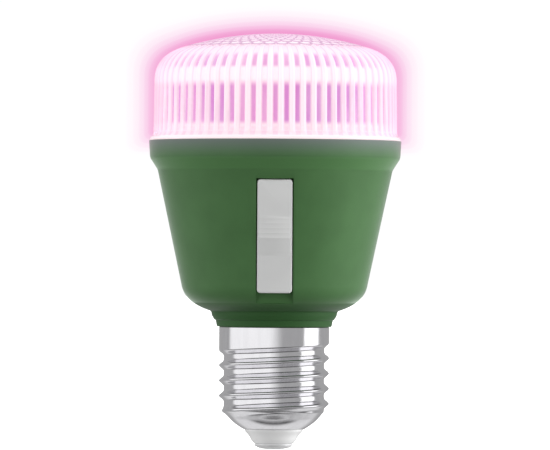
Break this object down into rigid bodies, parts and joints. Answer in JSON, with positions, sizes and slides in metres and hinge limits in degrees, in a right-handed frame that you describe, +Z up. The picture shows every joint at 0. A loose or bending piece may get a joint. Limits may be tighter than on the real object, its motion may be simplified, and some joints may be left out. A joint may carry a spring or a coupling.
{
  "type": "led grow light bulb",
  "caption": "Screw-cap LED bulb with a tapered green housing, a slide switch on its side and a clear ribbed dome over pink grow-light LEDs.",
  "frame": {"origin": "tip of the centre contact, on the bulb's axis", "axes": "+Z up the bulb's axis from the screw cap to the dome, -Y out of the side with the slide switch, +X to the right seen from that side"},
  "size_m": [0.0604, 0.0604, 0.0992],
  "materials": {
    "dome_clear": "clear glossy ribbed polycarbonate, lit pink from inside",
    "housing_green": "fine satin texture",
    "slider_grey": "satin",
    "cap_nickel": "nickel-plated rolled sheet, slightly brushed",
    "insulator_grey": "glossy",
    "tin_plate": "tin-plated, satin",
    "aluminium": "pressed sheet, satin",
    "silicone": "matte",
    "led_phosphor": "resin over the chip, lit",
    "board_white": "white solder mask on aluminium",
    "board_green": "solder mask on glass-epoxy board",
    "plastic_white": "satin",
    "plastic_black": "satin",
    "ferrite": "sintered, matte",
    "copper_winding": "enamelled copper wire",
    "yellow_case": "satin",
    "blue_coating": "dipped resin",
    "wire_red": "satin insulation",
    "wire_black": "satin insulation"
  },
  "bodies": {
    "bulb": {"board_screw_1": "tin_plate", "board_screw_2": "tin_plate", "board_screw_3": "tin_plate", "bridge_rectifier": "plastic_black", "bulk_capacitor": "plastic_black", "cap_insulator": "insulator_grey", "cap_shell": "cap_nickel", "centre_contact": "tin_plate", "controller_ic": "plastic_black", "driver_board": "board_green", "film_capacitor": "yellow_case", "filter_inductor": "copper_winding", "fuse_resistor": "plastic_white", "heat_spreader": "aluminium", "housing_shell": "housing_green", "led_01": "led_phosphor", "led_02": "led_phosphor", "led_03": "led_phosphor", "led_04": "led_phosphor", "led_05": "led_phosphor", "led_06": "led_phosphor", "led_07": "led_phosphor", "led_08": "led_phosphor", "led_09": "led_phosphor", "led_10": "led_phosphor", "led_11": "led_phosphor", "led_12": "led_phosphor", "led_board": "board_white", "led_connector": "plastic_white", "led_wire_negative": "wire_black", "led_wire_positive": "wire_red", "lens_dome": "dome_clear", "lens_seal": "silicone", "line_wire": "wire_red", "neutral_wire": "wire_black", "output_capacitor": "plastic_black", "radio_board": "board_green", "radio_shield": "tin_plate", "switch_base": "plastic_black", "switch_board": "board_green", "switch_frame": "tin_plate", "switch_screw_1": "tin_plate", "switch_screw_2": "tin_plate", "switch_wire_left": "wire_red", "switch_wire_right": "wire_black", "thermal_pad": "silicone", "transformer_core": "ferrite", "transformer_winding": "copper_winding", "varistor": "blue_coating"},
    "slider": {"slider_plate": "slider_grey", "slider_keeper": "plastic_white", "switch_lever": "plastic_black"}
  },
  "joints": [
    {"name": "slider_travel", "type": "slide", "parent": "bulb", "child": "slider", "axis": [0, 0.2079, -0.9781], "range_m": [0, 0.0022]}
  ]
}
